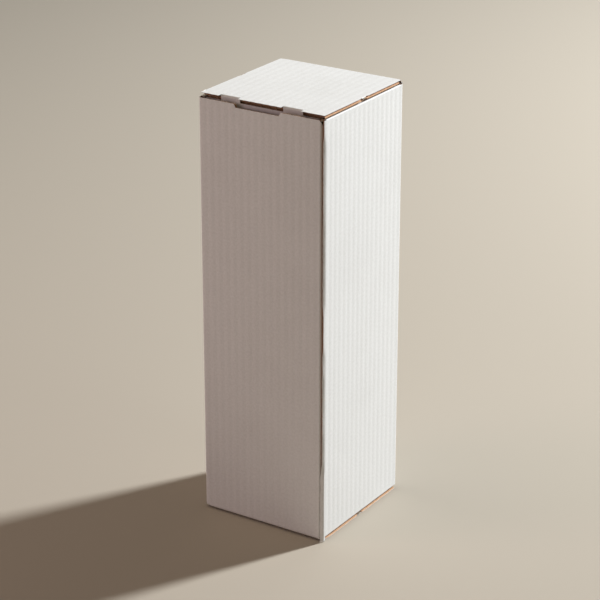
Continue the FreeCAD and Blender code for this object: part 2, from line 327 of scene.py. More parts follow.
def blank(low, high, board, axis, anchor):
    """A flat rectangle of paper from low to high, scored across at even steps
    along axis, in line with anchor."""
    start, end, strips = list(low), list(high), [1, 1]
    step = board.pitch / SCORES_PER_FLUTE
    first = math.floor((low[axis] - anchor) / step - TOUCH)
    last = math.ceil((high[axis] - anchor) / step + TOUCH)
    start[axis], end[axis] = anchor + first * step, anchor + last * step
    strips[axis] = last - first
    sheet = bmesh.new()
    bmesh.ops.create_grid(sheet, x_segments=strips[0], y_segments=strips[1], size=0.5)
    size = (*(b - a for a, b in zip(start, end)), 1)
    middle = (*((a + b) / 2 for a, b in zip(start, end)), 0)
    bmesh.ops.scale(sheet, verts=sheet.verts, vec=size)
    bmesh.ops.translate(sheet, verts=sheet.verts, vec=middle)
    trim(sheet, *line_at(axis, low[axis], -1))
    trim(sheet, *line_at(axis, high[axis]))
    return sheet


def parts_of(faces):
    """Faces with their edges and corners, each once."""
    parts = dict.fromkeys(faces)
    for face in faces:
        parts.update(dict.fromkeys([*face.edges, *face.verts]))
    return list(parts)


def cut_across(sheet, parts, point, way):
    """Cut those parts along a line, and return them with what that has made."""
    if not parts:
        return parts
    cut = bmesh.ops.bisect_plane(sheet, geom=parts, dist=TOUCH, plane_co=point, plane_no=way)
    return cut["geom"]


def reaches_into(face, low, high):
    """Whether a face reaches into a flat rectangle."""
    for axis in (0, 1):
        places = [vert.co[axis] for vert in face.verts]
        if min(places) > high[axis] - TOUCH or max(places) < low[axis] + TOUCH:
            return False
    return True


def parts_over(sheet, low, high):
    return parts_of([face for face in sheet.faces if reaches_into(face, low, high)])


def score(sheet, axis, places, low=None, high=None):
    """Score the sheet at each place along axis, or only between low and high."""
    parts = parts_of(sheet.faces[:]) if low is None else parts_over(sheet, low, high)
    for place in places:
        parts = cut_across(sheet, parts, *line_at(axis, place))


def punch(sheet, outline):
    """Cut a convex offcut out of the sheet and throw it away."""
    corners = [Vector((x, y, 0)) for x, y in outline]
    if sum(a.x * b.y - a.y * b.x for a, b in zip(corners, corners[1:] + corners[:1])) < 0:
        corners.reverse()
    followers = corners[1:] + corners[:1]
    low, high = [[pick(places) for places in zip(*outline)] for pick in (min, max)]
    sides = [(a, Vector((a.y - b.y, b.x - a.x, 0))) for a, b in zip(corners, followers)]
    parts = parts_over(sheet, low, high)
    for point, inward in sides:
        parts = cut_across(sheet, parts, point, inward)
    offcut = []
    for part in parts:
        if isinstance(part, bmesh.types.BMFace):
            middle = part.calc_center_median()
            if all((middle - point).dot(inward) > 0 for point, inward in sides):
                offcut.append(part)
    bmesh.ops.delete(sheet, geom=offcut, context="FACES")


def punch_box(sheet, low, high):
    punch(sheet, [low, (high[0], low[1]), high, (low[0], high[1])])


def round_corner(sheet, centre, radius, side):
    """Round off the free corner of a flap that ends towards +X of the sheet."""
    for turn in steps(0, math.pi / 2, CORNER_CUTS)[1:-1]:
        way = Vector((math.cos(turn), math.sin(turn) * side, 0))
        trim(sheet, Vector((*centre, 0)) + way * radius, way)


def wander(place, seed, size):
    """A smooth random number from -1 to 1 for a place on the sheet."""
    spot = Vector((place[0] / size, place[1] / size, seed * 7.3))
    return max(-1.0, min(1.0, noise.noise(spot) * 1.6))


def on_join(place, axis, level, low, high):
    """Whether a place is on a join: at level along axis, from low to high."""
    aside = place[1 - axis]
    return abs(place[axis] - level) < 10 * TOUCH and low - TOUCH < aside < high + TOUCH


def rough_edges(sheet, amount, seed, joins):
    """Make the cut edges wander, apart from the joins to other sheets."""
    fine, coarse = 0.9 * MM, 5 * MM
    for vert in sheet.verts:
        if vert.is_boundary and not any(on_join(vert.co, *join) for join in joins):
            place = vert.co.copy()
            across = wander(place, seed, fine) + 0.6 * wander(place, seed + 1, coarse)
            vert.co.x += amount * across
            vert.co.y += amount * wander(place, seed + 2, fine)


# ---- papers and pieces


class Paper(NamedTuple):
    """One of the board's three papers. Its rest is how deep its modelled face
    lies in the board, side says on which side of it the paper's thickness is,
    and held_back is how far a blunt rule leaves it behind the cut."""

    name: str
    board: BottleBoxBoard
    rest: float
    thickness: float
    side: int
    held_back: float
    seed: int

    def depth(self, wave, crush, rolled=0.0, pressed=0.0, swell=1.0):
        """How deep the paper lies where the fluting is at wave, which is 1 at
        the inner liner and -1 at the outer. Rolled is how far the outer liner
        is crushed in there, pressed how far the inner one is, and swell how
        much more than usual the outer one sags between the flutes."""
        board = self.board
        sag = board.sag * ((1 + wave) / 2) ** 1.4 * (1 - crush)
        outer = sag * swell + rolled
        inner = board.thickness - board.liner - pressed
        if self.name == "outer_liner":
            return outer
        if self.name == "inner_liner":
            return inner
        top = outer + board.liner + board.web / 2
        bottom = max(inner - board.web / 2, top)
        return (top + bottom) / 2 + (bottom - top) / 2 * wave * (1 - crush)


def papers():
    board = settings()[0]
    inner = board.thickness - board.liner
    return [
        Paper("outer_liner", board, 0.0, board.liner, -1, 0.0, 11),
        Paper("fluting", board, board.thickness / 2, board.web, 0, 1.3 * MM, 23),
        Paper("inner_liner", board, inner, board.liner, -1, MM, 37),
    ]


def fold(sheet, seed, joins, placing):
    """Rough up the cut edges, then move each point to where folding takes it."""
    rough_edges(sheet, settings()[0].ragged, seed, joins)
    for vert in sheet.verts:
        vert.co = placing(vert.co.x, vert.co.y)
    return sheet


def join_sheets(sheets):
    whole = bmesh.new()
    carried = bpy.data.meshes.new("carried")
    for sheet in sheets:
        sheet.to_mesh(carried)
        whole.from_mesh(carried)
        sheet.free()
    bpy.data.meshes.remove(carried)
    bmesh.ops.remove_doubles(whole, verts=whole.verts, dist=1e-6)
    return whole


def mesh_from(name, work):
    mesh = bpy.data.meshes.new(name)
    work.to_mesh(mesh)
    work.free()
    return mesh


def add_object(name, data):
    made = bpy.data.objects.new(name, data)
    bpy.context.scene.collection.objects.link(made)
    return made


def look_along(made, place, away):
    """Place a lamp or the camera, facing opposite to away."""
    made.location = place
    made.rotation_euler = away.to_track_quat("Z", "Y").to_euler()


def make_piece(name, sheets, paper, turned=False):
    """Join folded sheets and give them the paper's thickness and finishes."""
    whole = join_sheets(sheets)
    if turned:
        middle = Vector((0, 0, settings()[1].height / 2))
        half_turn = Matrix.Rotation(math.pi, 3, "X")
        bmesh.ops.rotate(whole, verts=whole.verts, cent=middle, matrix=half_turn)
    flat = mesh_from(name, whole)
    for face in flat.polygons:
        face.use_smooth = True
    piece = add_object(name, flat)
    for finish in FACES[paper.name]:
        flat.materials.append(finish_named(finish))
    solid = piece.modifiers.new("paper", "SOLIDIFY")
    solid.thickness, solid.offset = paper.thickness, paper.side
    solid.material_offset, solid.material_offset_rim = 1, 2
    bpy.context.view_layer.update()
    worked = piece.evaluated_get(bpy.context.evaluated_depsgraph_get())
    mesh = bpy.data.meshes.new_from_object(worked)
    piece.modifiers.clear()
    piece.data = mesh
    bpy.data.meshes.remove(flat)
    mesh.name = name
    mesh.set_sharp_from_angle(angle=SHARP_EDGE)
    return piece


# ---- the tube


class Tube:
    """The four walls with the glue flap, and the dust flaps folded in from the
    side walls. Sheet X runs round the tube from the seam, sheet Y runs up."""

    def __init__(self):
        board, die = self.board, self.die = settings()
        right, back = die.width / 2, die.depth / 2
        glue_face = right - board.thickness - 0.05 * MM
        glue_end = -back + board.thickness + die.glue_width
        corners = [(right, -back), (right, back), (-right, back), (-right, -back)]
        corners += [(glue_face, -back), (glue_face, glue_end)]
        self.plan = Section(corners, [die.corner_radius] * 3 + [die.seam_radius], board)
        self.flap = right - die.dust_gap / 2
        low, high = die.end_level, die.height - die.end_level
        self.ends = (low, high)
        corners = [(-self.flap, low), (0, low), (0, high), (-self.flap, high)]
        self.rise = Section(corners, [die.dust_radius] * 2, board, start=low - self.flap)
        self.folds = self.plan.creases()
        self.flap_starts = (self.rise.creases()[0][1], self.rise.creases()[1][0])
        self.shoulder = 3.1 * MM
        (right_start, _), (_, left_start), (left_end, _) = self.folds[:3]
        self.side_creases = ((self.shoulder, right_start), (left_start, left_end))

    def wave(self, along):
        """A flute meets the inner liner at the lid's right edge."""
        anchor = self.die.width + self.die.lid_inset
        return math.cos((along - anchor) / self.board.pitch * 2 * math.pi)

    def roll(self, height):
        """How deep the outer liner is crushed in beside the seam's raw edge, and
        over what length: right over it near the floor, less in two torn places."""
        spot = (0, height)
        deep = (0.85 + 0.2 * wander(spot, 7, 15 * MM)) * MM
        deep += 0.14 * MM * wander(spot, 5, 3 * MM)
        long = (3.1 + 0.3 * wander(spot, 3, 22 * MM)) * MM
        torn_deep, wrapped_deep, short = 0.25 * MM, 2.5 * MM, 1.2 * MM
        changes = [
            ((half + 3 * MM - abs(height - middle)) / (6 * MM), torn_deep)
            for middle, half in ((172 * MM, 17 * MM), (self.die.height, 18 * MM))
        ]
        changes.append(((66 * MM - height) / (12 * MM), wrapped_deep))
        for share, other in changes:
            deep += (other - deep) * clamped(share)
            long += (short - long) * clamped(share)
        return deep, long

    def rolled(self, along, height):
        """How far in the outer liner lies at a distance from the raw edge."""
        deep, long = self.roll(height)
        return deep * ((long - along) / long) ** 2 if along < long else 0.0

    def sunk(self, height):
        """How far the outer liner is crushed in just inside a dust flap's crease."""
        beyond = max(height - self.ends[1], self.ends[0] - height) / MM
        return self.die.flap_gap * clamped((beyond + 0.6) / 2.6) * clamped((12 - beyond) / 8)

    def placing(self, paper, flap):
        def place(along, height):
            wave = self.wave(along)
            crush = 0.5 * self.plan.crush(along)
            if flap:
                crush = max(crush, 0.85 * self.rise.crush(height))
            swell = 1 + 0.6 * clamped((along - self.folds[2][0]) / (12 * MM))
            rolled = self.rolled(along, height) + (self.sunk(height) if flap else 0.0)
            depth = paper.depth(wave, crush, rolled, 0.0, swell)
            if not flap:
                spot = self.plan.at(along, depth)
                return Vector((spot.x, spot.y, height))
            side = self.rise.at(height, depth)
            spot = self.plan.at(along, -side.x)
            return Vector((spot.x, spot.y, side.y))

        return place

    def notch(self, sheet, middle, edge, away):
        """The finger notch in a raw edge, which the die cuts on the away side."""
        half, slope = self.die.notch_width / 2, self.die.notch_slope
        floor = edge - away * self.die.notch_depth
        outline = [(middle - half - slope, edge), (middle - half, floor)]
        outline += [(middle + half, floor), (middle + half + slope, edge)]
        punch(sheet, outline)

    def wall_sheet(self, paper):
        """The walls and the glue flap, with what lies outside them cut away."""
        die, board, folds = self.die, self.board, self.folds
        hinge = die.crease_reach + paper.rest
        top, low_start, high_start = die.height, *self.flap_starts
        floor, ceiling = 0.8 * MM, die.height - die.crease_reach
        width, depth, last = die.width, die.depth, self.plan.marks[-1]
        first = 2.6 * paper.held_back
        back_start, back_end = depth + die.corner_radius, depth + width - die.corner_radius
        front_zero = depth * 2 + width * 1.5
        front_start = front_zero - width / 2 + die.corner_radius
        seam = front_zero + width / 2 - board.thickness
        front_end = seam - die.seam_radius
        glue = seam + board.thickness
        drop = die.wall_drop + 0.7 * paper.held_back
        front_edge, back_edge = top - drop, drop
        near_hinge = die.crease_reach + 0.1 * MM

        sheet = blank((first, floor), (last, ceiling), board, 0, 0)
        for start, end in folds:
            score(sheet, 0, steps(start, end, 16))
        score(sheet, 0, [(0.1 + 0.07 * step) * step * MM for step in range(1, 7)])

        high_cuts = [
            (0, self.shoulder, top - 3.7 * MM),
            (*self.side_creases[0], high_start),
            (folds[0][0], back_start, top - near_hinge),
            (back_start, back_end, top - hinge),
            (back_end, folds[1][1], top - near_hinge),
            (*self.side_creases[1], high_start),
            (folds[2][0], seam, front_edge),
        ]
        low_cuts = [
            (*self.side_creases[0], low_start),
            (folds[0][0], folds[1][1], back_edge),
            (*self.side_creases[1], low_start),
            (folds[2][0], front_start, near_hinge),
            (front_start, front_end, hinge),
            (front_end, seam, near_hinge),
        ]
        for start, end, level in high_cuts:
            punch_box(sheet, (start, level), (end, top + MM))
        for start, end, level in low_cuts:
            punch_box(sheet, (start, -MM), (end, level))
        middle = front_zero - board.thickness / 2 - die.notch_offset
        self.notch(sheet, middle, front_edge, 1)
        self.notch(sheet, depth + width / 2, back_edge, -1)
        relief_end = front_edge - die.seam_relief
        near, far = die.glue_relief, die.glue_relief + die.glue_taper
        offcuts = (
            [(seam - die.seam_relief, front_edge), (seam, front_edge), (seam, relief_end)],
            [(seam, top), (seam, relief_end), (glue, top - near), (glue, top)],
            [(glue, top), (glue, top - near), (last, top - far), (last, top)],
            [(seam, -MM), (glue, -MM), (glue, near), (seam, near_hinge)],
            [(glue, -MM), (last, -MM), (last, far), (glue, near)],
        )
        for outline in offcuts:
            punch(sheet, outline)
        guard, worn = 1.2 * MM, 3.4 * MM
        score(sheet, 1, (low_start + guard, high_start - guard))
        score(sheet, 1, (front_edge - 5 * MM, back_edge + 5 * MM))
        score(sheet, 1, rows_between(floor, ceiling), low=(0, floor), high=(worn, ceiling))

        joins = [(1, level, *span) for span in self.side_creases for level in self.flap_starts]
        joins += [(1, top - hinge, back_start, back_end), (1, hinge, front_start, front_end)]
        return fold(sheet, paper.seed, joins, self.placing(paper, flap=False))

    def flap_sheet(self, paper, wall, top):
        """A dust flap with its crease, on wall 0, the right one, or wall 1."""
        die, crease = self.die, self.side_creases[wall]
        way = 1 if top else -1
        wall_start = wall * (die.depth + die.width)
        insets = (die.dust_tuck_side, die.dust_hinge_side)
        if top == bool(wall):
            insets = insets[::-1]
        edges = (wall_start + insets[0], wall_start + die.depth - insets[1])
        fold_zone = self.rise.creases()[top]
        start, end = self.flap_starts[top], self.ends[top] + way * self.flap
        shoulder, chamfer = self.ends[top] + way * 3 * MM, end - way * die.dust_corner
        low, high = sorted((start, end))
        sheet = blank((crease[0], low), (crease[1], high), self.board, 0, 0)
        rows = [fold_zone[top] + way * part * MM for part in (1.2, 3.5, 6, 9)]
        score(sheet, 1, steps(*fold_zone, 14) + rows)
        for edge, outside, inward in zip(edges, crease, (1, -1)):
            punch_box(sheet, *zip(*map(sorted, ((outside, edge), (shoulder, end)))))
            inner = edge + die.dust_corner * inward
            punch(sheet, [(edge, chamfer), (inner, end), (edge, end)])
        joins = [(1, start, *crease)]
        return fold(sheet, paper.seed + 5, joins, self.placing(paper, flap=True))

    def sheets(self, paper):
        flaps = [self.flap_sheet(paper, wall, top) for top in (True, False) for wall in (0, 1)]
        return [self.wall_sheet(paper), *flaps]


# ---- lid and bottom flap


class EndFlap:
    """The lid, or the bottom flap turned over. Sheet X runs from the crease
    over the panel and down the tuck flap, sheet Y runs across the box."""

    def __init__(self, name):
        board, die = self.board, self.die = settings()
        self.turned = name == "bottom_flap"
        right_board = die.width / 2 - board.thickness * (1 if self.turned else 2)
        left_board = -die.width / 2 + board.thickness
        self.middle = (right_board + left_board) / 2
        self.tips = (left_board + die.tuck_side_gap, right_board - die.tuck_side_gap)
        insets = (die.lid_left_inset, die.lid_inset)
        if self.turned:
            insets = (die.under_inset, die.under_inset)
        self.sides = (insets[0] - die.width / 2, die.width / 2 - insets[1])
        self.start = die.crease_reach
        self.lip = die.depth - die.lip_inset
        back, top, wall = die.depth / 2, die.height, 30 * MM
        face = -back + die.tuck_face
        corners = [(back, top - wall), (back, top), (face, top)]
        corners.append((face + TUCK_SLANT, top - die.tuck_length))
        radii = [die.hinge_radius, die.tuck_radius]
        self.line = Section(corners, radii, board, start=-wall)
        self.bend_start, self.bend_end = self.line.creases()[1]

    def wave(self, across):
        """A flute meets the lower liner at the panel's right edge."""
        turns = (self.sides[1] - across) / self.board.pitch
        return math.cos(turns * 2 * math.pi) * (-1 if self.turned else 1)

    def lifted(self, along):
        """How far the outer liner is crushed in along the bottom flap's crease."""
        flat, fading = 4 * MM, 10 * MM
        if not self.turned or along > flat + fading:
            return 0.0
        if along > flat:
            return self.die.under_gap * (1 - (along - flat) / fading) ** 2
        return self.die.under_gap * clamped((along / MM + 3.0) / 4.0)

    def stretches(self):
        """The three stretches of the tuck crease that are cut through."""
        inner = self.die.middle_cut / 2
        outer = inner + self.die.bridge
        return [
            (self.sides[0], self.middle - outer),
            (self.middle - inner, self.middle + inner),
            (self.middle + outer, self.sides[1]),
        ]

    def from_edge(self, across):
        """How far it is to the nearer side edge of the panel."""
        return min(across - self.sides[0], self.sides[1] - across)

    def pressed(self, across):
        """How far the board is pressed thin beside the panel's side edges."""
        share = clamped(1 - self.from_edge(across) / PRESSED_WIDTH)
        return (0.3 if self.turned else 0.6) * MM * share * share

    def placing(self, paper, straight):
        die = self.die
        mark, mark_deep, mark_fade = -0.19 * die.width, 0.09 * MM, 12 * MM
        curl, curl_width = 1.7 * MM, 3 * MM

        def place(along, across):
            wave, lifted = self.wave(across), self.lifted(along)
            if straight:
                lifted += self.folded(along, across)
                depth = paper.depth(wave, 0.0, lifted, self.pressed(across))
                faded = min(1.0, (along - self.start) / mark_fade)
                depth += mark_deep * faded * math.exp(-(((across - mark) / MM) ** 2))
                return Vector((across, die.depth / 2 - along, die.height - depth))
            crush = self.line.crush(along)
            if along < self.bend_start - MM:
                beside = max(0.0, 1 - self.from_edge(across) / curl_width)
                lifted += beside**2 * crush * curl
            spot = self.line.at(along, paper.depth(wave, 0.8 * crush, lifted))
            return Vector((across, spot.x, spot.y))

        return place

    def panel_sheet(self, paper):
        """The panel, which runs on as a lip where the tuck crease is cut."""
        sides, bend, slit = self.sides, self.bend_start, self.die.slit
        start, lip = self.start + paper.rest, self.lip - 0.5 * paper.held_back
        sheet = blank((start, sides[0]), (lip, sides[1]), self.board, 1, sides[1])
        cuts = self.stretches()
        bridges = [(before[1], after[0]) for before, after in zip(cuts, cuts[1:])]
        score(sheet, 0, (bend - 2 * MM, bend))
        for left, right in bridges:
            low, high = left - slit, right + slit
            punch_box(sheet, (bend, low), (lip + MM, high))
            score(sheet, 1, (left, right), low=(bend - MM, low), high=(bend, high))
        score(sheet, 0, [start + 2 * MM] + [lip - part * MM for part in (0.6, 1.4, 2.6, 4)])
        if self.turned:
            score(sheet, 0, [part * MM for part in (6, 8, 10, 12, 14)])
        for edge, inward in zip(sides, (1, -1)):
            inner = edge + PRESSED_WIDTH * inward
            score(sheet, 1, [edge + part * MM * inward for part in (0.5, 1.2, 2.0)])
            low, high = (start, min(edge, inner)), (lip, max(edge, inner))
            score(sheet, 0, rows_between(start, lip), low=low, high=high)
        self.tear_nicks(sheet, 0.6 * MM + 0.8 * paper.held_back, paper.held_back > 0)
        self.pull_back(sheet, 4.0 * paper.held_back)
        joins = [(0, start, *sides)] + [(0, bend, *bridge) for bridge in bridges]
        return fold(sheet, paper.seed + 9, joins, self.placing(paper, straight=True))

    def pull_back(self, sheet, most):
        """Draw an inner paper back from the lip, less so at the right edge."""
        reach = self.lip - self.bend_start
        for vert in sheet.verts:
            beyond = vert.co.x - self.bend_start
            if beyond > 10 * TOUCH:
                from_side = (self.sides[1] - vert.co.y) / (3 * MM)
                vert.co.x -= most * clamped(from_side) * beyond / reach

    def folded(self, along, across):
        """How far down a torn scrap of the outer liner is folded at each nick."""
        at_nick = abs(along - self.die.depth / 2) <= NICK_HALF
        return NICK_HALF if at_nick and self.from_edge(across) <= 0.3 * MM else 0.0

    def tear_nicks(self, sheet, deep, all_through):
        """The torn spot halfway along each side edge, where a nick held the
        blank in its sheet. Only the inner papers are torn all through."""
        middle, reach, torn_half = self.die.depth / 2, 2 * MM, 3.4 * MM
        for vert in sheet.verts:
            for edge, inward in zip(self.sides, (1, -1)):
                share = 1 - abs(vert.co.y - edge) / reach
                aside = abs(vert.co.x - middle)
                if share > 0 and aside < torn_half and (aside > NICK_HALF or all_through):
                    vert.co.y += deep * share * inward

    def tuck_sheet(self, paper):
        """The two bridges over the tuck crease and the tuck flap."""
        low, high = self.tips
        start, end = self.bend_start, self.line.marks[-1]
        sheet = blank((start, low), (end, high), self.board, 1, self.sides[1])
        score(sheet, 0, steps(start, self.bend_end, 24)[1:] + [self.bend_end + MM])
        cut_end = self.line.marks[2] + self.die.tuck_step
        for left, right in self.stretches():
            span = (max(left, low - MM), min(right, high + MM))
            punch_box(sheet, (start - MM, span[0]), (cut_end, span[1]))
        radius = self.die.tuck_corner
        for side, tip in ((-1, low), (1, high)):
            round_corner(sheet, (end - radius, tip - side * radius), radius, side)
        joins = [(0, start, *self.tips)]
        return fold(sheet, paper.seed + 13, joins, self.placing(paper, straight=False))

    def crease_sheet(self, paper):
        """The strip that bends where the flap swings on its wall."""
        inset, reach = 3.6 * paper.held_back, self.start + paper.rest
        low, high = self.sides[0] + inset, self.sides[1] - inset
        if self.turned:
            high = self.die.width / 2 - self.board.thickness - 0.6 * MM
        sheet = blank((-reach, low), (reach, high), self.board, 1, self.sides[1])
        score(sheet, 0, steps(-reach, reach, 20)[1:-1])
        joins = [(0, end, low, high) for end in (-reach, reach)]
        return fold(sheet, paper.seed + 17, joins, self.placing(paper, straight=False))


# ---- loose fibres


def add_fibre(tuft, root, way, reach, curl, radius):
    """One stiff paper fibre that stands out of a torn or cut edge."""
    made = bmesh.ops.create_cone(
        tuft, cap_ends=True, segments=4, radius1=radius, radius2=radius * 0.4, depth=reach
    )
    verts = made["verts"]
    bmesh.ops.translate(tuft, verts=verts, vec=(0, 0, reach / 2))
    for share in (0.4, 0.75):
        parts = dict.fromkeys(verts)
        for vert in verts:
            parts.update(dict.fromkeys([*vert.link_edges, *vert.link_faces]))
        ring = bmesh.ops.bisect_plane(
            tuft, geom=list(parts), dist=TOUCH, plane_co=(0, 0, reach * share), plane_no=(0, 0, 1)
        )
        verts += [part for part in ring["geom_cut"] if isinstance(part, bmesh.types.BMVert)]
    for vert in verts:
        share = vert.co.z / reach
        vert.co += Vector((*curl, 0)) * (share * share * reach)
    turn = Vector(way).to_track_quat("Z", "Y").to_matrix()
    bmesh.ops.rotate(tuft, verts=verts, cent=(0, 0, 0), matrix=turn)
    bmesh.ops.translate(tuft, verts=verts, vec=root)


def fibre_places(body):
    """(how many, where from, where to, which way they stand, how stout they
    are) for each tuft."""
    die = settings()[1]
    front, side, top = -die.depth / 2, die.width / 2, die.height
    flap = EndFlap("lid" if body == "box_body" else body)
    if body == "box_body":
        edge, y = top - die.wall_drop, front + 0.5 * MM
        seam_x, seam_y = side - 0.7 * MM, front + 0.3 * MM
        left, middle, right = flap.stretches()
        return [
            (22, (left[1] - 2 * MM, y, edge), (middle[0] - MM, y, edge), (0, -0.5, 1), 1.8),
            (26, (middle[1] + 2 * MM, y, edge), (right[0], y, edge), (0, -0.5, 1), 1.8),
            (4, (-side, y, edge), (left[1], y, edge), (0, -0.5, 1), 1),
            (22, (seam_x, seam_y, 65 * MM), (seam_x, seam_y, top - 22 * MM), (0.2, -1, 0), 1),
            (16, (side - 3.4 * MM, seam_y, top - 4.6 * MM),
             (side - 1.8 * MM, front + 0.6 * MM, top - 3.6 * MM), (-0.2, -1, 0.8), 1),
        ]
    level = 1.4 * MM if flap.turned else top - 1.4 * MM
    tufts = []
    for edge, way in zip(flap.sides, (-1, 1)):
        x, nick = edge - 0.1 * MM * way, level + (0.2 if flap.turned else 0.5) * MM
        tufts.append((12, (x, -MM, nick), (x, MM, nick + 0.6 * MM), (way, 0, 0.2), 2))
        tufts.append((6, (x, -44 * MM, level), (x, 44 * MM, level + 0.6 * MM), (way, 0, 0.3), 1))
    return tufts


def make_fibres(body, seed):
    chance = random.Random(seed)
    tuft = bmesh.new()
    for count, low, high, way, stout in fibre_places(body):
        for _ in range(count):
            root = [chance.uniform(a, b) for a, b in zip(low, high)]
            lean = [part + chance.uniform(-0.7, 0.7) for part in way]
            curl = (chance.uniform(-0.6, 0.6), chance.uniform(-0.6, 0.6))
            reach = chance.uniform(0.5, 1.5) * MM / math.sqrt(stout)
            add_fibre(tuft, root, lean, reach, curl, chance.uniform(0.05, 0.13) * MM * stout)
    name = f"{body}_fibres"
    piece = add_object(name, mesh_from(name, tuft))
    piece.data.materials.append(finish_named("torn_fibre"))
    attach(piece, body)


# ---- materials


class Value:
    """A shader socket that sums and products can be written with."""

    def __init__(self, finish, socket):
        self.finish, self.socket = finish, socket

    def worked(self, operation, first, second):
        return self.finish.node("ShaderNodeMath", {0: first, 1: second}, operation=operation)

    def __add__(self, other):
        return self.worked("ADD", self, other)

    def __radd__(self, other):
        return self.worked("ADD", other, self)

    def __mul__(self, other):
        return self.worked("MULTIPLY", self, other)


class Finish:
    """One material, made of nodes."""

    def __init__(self, name):
        self.material = bpy.data.materials.new(name)
        self.material.use_nodes = True
        self.tree = self.material.node_tree
        self.shader = self.tree.nodes["Principled BSDF"]
        self.place = self.node("ShaderNodeTexCoord", {}, "Object")

    def connect(self, socket, value):
        if isinstance(value, Value):
            self.tree.links.new(value.socket, socket)
        elif isinstance(value, tuple) and len(value) == 3 and len(socket.default_value) == 4:
            socket.default_value = (*value, 1)
        else:
            socket.default_value = value

    def node(self, kind, sockets, result=0, **options):
        """Add a node: its options, then the values or links of its sockets."""
        made = self.tree.nodes.new(kind)
        for key, value in options.items():
            setattr(made, key, value)
        for key, value in sockets.items():
            self.connect(made.inputs[key], value)
        return Value(self, made.outputs[result])

    def cloud(self, size, detail=2.0, place=None):
        """Noise from 0 to 1 whose features have that size, in metres."""
        sockets = {"Vector": place or self.place, "Scale": 1 / size, "Detail": detail}
        return self.node("ShaderNodeTexNoise", sockets, "Fac")

    def ramp(self, value, low, high):
        """0 below low, 1 above high and a straight slope between them."""
        made = self.node("ShaderNodeValToRGB", {"Fac": value})
        for stop, place in zip(made.socket.node.color_ramp.elements, (low, high)):
            stop.position = place
        return made

    def mix(self, share, first, second):
        return self.node("ShaderNodeMix", {0: share, 6: first, 7: second}, 2, data_type="RGBA")

    def bump(self, height, distance, strength):
        sockets = {"Height": height, "Distance": distance, "Strength": strength}
        self.connect(self.shader.inputs["Normal"], self.node("ShaderNodeBump", sockets))

    def surface(self, base, roughness, specular=0.5):
        looks = {"Base Color": base, "Roughness": roughness, "Specular IOR Level": specular}
        for socket, value in looks.items():
            self.connect(self.shader.inputs[socket], value)


def white_liner(finish, light, dull):
    patches = finish.ramp(finish.cloud(38 * MM, 3.0), 0.42, 0.68)
    pulp = finish.cloud(1.8 * MM, 3.0)
    fibre = finish.cloud(0.35 * MM)
    dark = patches * 0.25 + finish.ramp(pulp, 0.35, 0.65) * 0.55
    finish.surface(finish.mix(dark, light, dull), 0.5 + fibre * 0.16, 0.35)
    finish.bump(fibre * 0.6 + pulp * 0.8, 0.03 * MM, 0.6)


def kraft_paper(finish, light, fleck):
    sockets = {"Vector": finish.place, "Scale": (0.3, 0.3, 2.2)}
    fibres = finish.cloud(0.9 * MM, 4.0, finish.node("ShaderNodeMapping", sockets))
    patches = finish.cloud(14 * MM, 3.0)
    specks = finish.ramp(finish.cloud(0.5 * MM, 1.0), 0.66, 0.78)
    dark = finish.ramp(fibres, 0.38, 0.68) * 0.45 + patches * 0.25 + specks * 0.35
    finish.surface(finish.mix(dark, light, fleck), 0.78 + fibres * 0.14, 0.2)
    finish.bump(fibres, 0.05 * MM, 0.8)


def raw_edge(finish, light, shade):
    tufts = finish.cloud(0.45 * MM, 3.0)
    burnish = finish.ramp(finish.cloud(3.5 * MM), 0.4, 0.7)
    dark = finish.ramp(tufts, 0.4, 0.7) * 0.5 + burnish * 0.35
    finish.surface(finish.mix(dark, light, shade), 0.9, 0.1)
    finish.bump(tufts, 0.1 * MM, 1.0)


def torn_fibre(finish, light, worn):
    dark = finish.cloud(0.8 * MM) * 0.25
    finish.surface(finish.mix(dark, light, worn), 0.9, 0.1)


# each finish's maker and its two colours
FINISHES = {
    "white_liner": (white_liner, "white", "white_dull"),
    "kraft_liner": (kraft_paper, "kraft", "kraft_dark"),
    "fluting_paper": (kraft_paper, "web", "web_dark"),
    "raw_edge": (raw_edge, "edge", "edge_dark"),
    "torn_fibre": (torn_fibre, "torn", "edge"),
}
# finishes of each paper's modelled face, its other face and its edge
FACES = {
    "outer_liner": ("white_liner", "fluting_paper", "white_liner"),
    "fluting": ("fluting_paper", "fluting_paper", "raw_edge"),
    "inner_liner": ("fluting_paper", "kraft_liner", "raw_edge"),
}


def finish_named(name):
    """A finish that is made once and used again."""
    found = bpy.data.materials.get(name)
    if found:
        return found
    colours = bpy.context.scene.bottle_box_paper
    maker, *pair = FINISHES[name]
    finish = Finish(name)
    maker(finish, *(tuple(getattr(colours, key)) for key in pair))
    return finish.material


# ---- operators


class BOTTLEBOX_OT_walls(bpy.types.Operator):
    """Fold the tube of walls with its glue flap and dust flaps"""

    bl_idname = "bottlebox.walls"
    bl_label = "Walls and dust flaps"

    def execute(self, context):
        tube = Tube()
        for paper in papers():
            piece = make_piece(f"box_{paper.name}", tube.sheets(paper), paper)
            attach(piece, "box_body")
            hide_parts("box_body")
        return {"FINISHED"}


